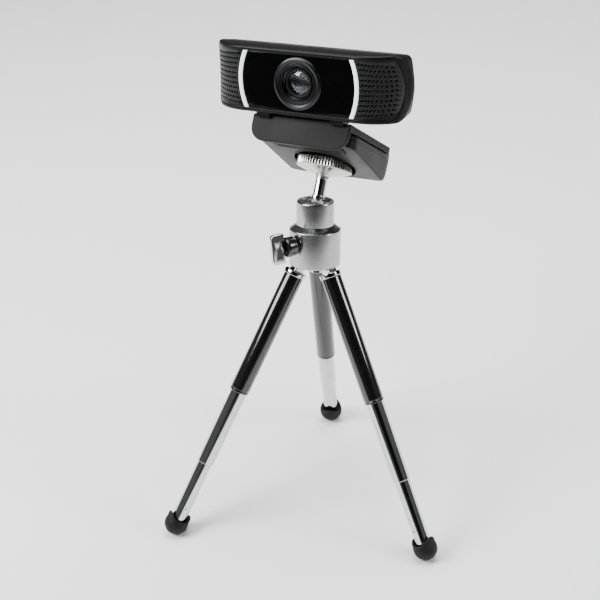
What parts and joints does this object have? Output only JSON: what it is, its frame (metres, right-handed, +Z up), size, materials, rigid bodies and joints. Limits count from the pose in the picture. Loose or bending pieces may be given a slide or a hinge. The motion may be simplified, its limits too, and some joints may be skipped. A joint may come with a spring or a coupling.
{
  "type": "webcam on tripod",
  "caption": "Wide webcam with twin light arcs, a folding clip and a small ball-head tripod with telescopic legs.",
  "frame": {"origin": "on the floor, midway between the three feet", "axes": "+Z up from the floor, -Y the way the webcam looks, +X to the right as seen from in front of the webcam"},
  "size_m": [0.1358, 0.1281, 0.2202],
  "materials": {
    "satin_black": "satin",
    "gloss_black": "high gloss",
    "grille_black": "satin, perforated",
    "shelf_grey": "fine matte grain",
    "light_white": "diffusing white",
    "ring_dark": "dark anodised, turned",
    "barrel_black": "matte",
    "lens_coated": "coated glass",
    "rubber_black": "soft matte",
    "chrome": "polished",
    "head_metal": "satin turned",
    "cast_metal": "as cast",
    "tube_black": "gloss black paint",
    "steel": "bright",
    "brass": "turned",
    "nylon_white": "natural",
    "board_green": "solder mask",
    "chip_black": "moulded"
  },
  "bodies": {
    "head": {"head_body": "head_metal", "head_cap": "head_metal", "leg_yoke": "cast_metal", "leg_pins": "steel", "yoke_screws": "steel"},
    "left_leg": {"left_leg_cap": "chrome", "left_leg_tube": "tube_black"},
    "left_mid": {"left_mid_tube": "chrome"},
    "left_low": {"left_low_tube": "chrome", "left_rubber_foot": "rubber_black"},
    "right_leg": {"right_leg_cap": "chrome", "right_leg_tube": "tube_black"},
    "right_mid": {"right_mid_tube": "chrome"},
    "right_low": {"right_low_tube": "chrome", "right_rubber_foot": "rubber_black"},
    "rear_leg": {"rear_leg_cap": "chrome", "rear_leg_tube": "tube_black"},
    "rear_mid": {"rear_mid_tube": "chrome"},
    "rear_low": {"rear_low_tube": "chrome", "rear_rubber_foot": "rubber_black"},
    "knob": {"clamp_screw": "steel", "clamp_plunger": "brass", "knob_hub": "barrel_black", "knob_wing": "chrome"},
    "seat": {"ball_seat": "nylon_white"},
    "stem": {"ball": "steel", "stem": "chrome", "camera_screw": "steel"},
    "wheel": {"lock_wheel": "chrome", "wheel_pad": "rubber_black"},
    "clip_foot": {"foot_shell": "satin_black", "foot_cover": "satin_black", "thread_insert": "brass", "fold_pin": "steel", "under_pad": "rubber_black"},
    "clip_shelf": {"shelf": "shelf_grey", "lip_pad": "rubber_black"},
    "webcam": {"front_frame": "satin_black", "rear_cover": "satin_black", "face_plate": "gloss_black", "light_arc_left": "light_white", "light_arc_right": "light_white", "grille_left": "grille_black", "grille_right": "grille_black", "lens_ring": "ring_dark", "lens_barrel": "barrel_black", "lens_glass": "lens_coated", "inner_lens": "lens_coated", "lens_holder": "satin_black", "image_sensor": "chip_black", "sensor_board": "board_green", "board_connector": "chip_black", "main_board": "board_green", "board_screws": "steel", "microphones": "steel", "status_leds": "light_white", "case_screws": "steel", "tilt_pin": "steel", "cable_bush": "rubber_black"}
  },
  "joints": [
    {"name": "left_leg_fold", "type": "hinge", "parent": "head", "child": "left_leg", "pos_m": [-0.0151, 0.02645, 0.11724], "axis": [0.7257, -0.6514, 0.2216], "range_deg": [0, 26.3]},
    {"name": "left_mid_slide", "type": "slide", "parent": "left_leg", "child": "left_mid", "axis": [-0.235, -0.5373, -0.81], "range_m": [-0.036, 0]},
    {"name": "left_low_slide", "type": "slide", "parent": "left_mid", "child": "left_low", "axis": [-0.235, -0.5373, -0.81], "range_m": [-0.026, 0]},
    {"name": "right_leg_fold", "type": "hinge", "parent": "head", "child": "right_leg", "pos_m": [-0.00253, 0.03035, 0.11724], "axis": [0.2294, 0.9478, -0.2216], "range_deg": [0, 26.3]},
    {"name": "right_mid_slide", "type": "slide", "parent": "right_leg", "child": "right_mid", "axis": [0.4979, -0.3098, -0.81], "range_m": [-0.036, 0]},
    {"name": "right_low_slide", "type": "slide", "parent": "right_mid", "child": "right_low", "axis": [0.4979, -0.3098, -0.81], "range_m": [-0.026, 0]},
    {"name": "rear_leg_fold", "type": "hinge", "parent": "head", "child": "rear_leg", "pos_m": [-0.01208, 0.03893, 0.11432], "axis": [-0.9551, -0.2964, 0], "range_deg": [0, 26.3]},
    {"name": "rear_mid_slide", "type": "slide", "parent": "rear_leg", "child": "rear_mid", "axis": [-0.059, 0.19, -0.98], "range_m": [-0.0185, 0.0175]},
    {"name": "rear_low_slide", "type": "slide", "parent": "rear_mid", "child": "rear_low", "axis": [-0.059, 0.19, -0.98], "range_m": [-0.017, 0.0094]},
    {"name": "knob_turn", "type": "hinge", "parent": "head", "child": "knob", "pos_m": [-0.01548, 0.02385, 0.12883], "axis": [-0.4008, -0.8952, 0.1948], "range_deg": [0, 120]},
    {"name": "head_pan", "type": "hinge", "parent": "head", "child": "seat", "pos_m": [-0.01177, 0.03792, 0.14005], "axis": [-0.0758, 0.2443, 0.9667], "continuous": true},
    {"name": "ball_tilt", "type": "hinge", "parent": "seat", "child": "stem", "pos_m": [-0.01177, 0.03792, 0.14005], "axis": [0.9969, 0, 0.0782], "range_deg": [-5, 53]},
    {"name": "wheel_turn", "type": "hinge", "parent": "stem", "child": "wheel", "pos_m": [-0.01281, 0.04836, 0.1533], "axis": [-0.0615, 0.6176, 0.7841], "continuous": true},
    {"name": "clip_pan", "type": "hinge", "parent": "stem", "child": "clip_foot", "pos_m": [-0.01299, 0.05021, 0.15565], "axis": [-0.0615, 0.6176, 0.7841], "range_deg": [-180, 180]},
    {"name": "shelf_fold", "type": "hinge", "parent": "clip_foot", "child": "clip_shelf", "pos_m": [-0.01285, 0.07165, 0.15382], "axis": [0.9969, 0, 0.0782], "range_deg": [-110, 0]},
    {"name": "webcam_tilt", "type": "hinge", "parent": "clip_shelf", "child": "webcam", "pos_m": [-0.01576, 0.04083, 0.19088], "axis": [0.9969, 0, 0.0782], "range_deg": [-26, 12]}
  ]
}
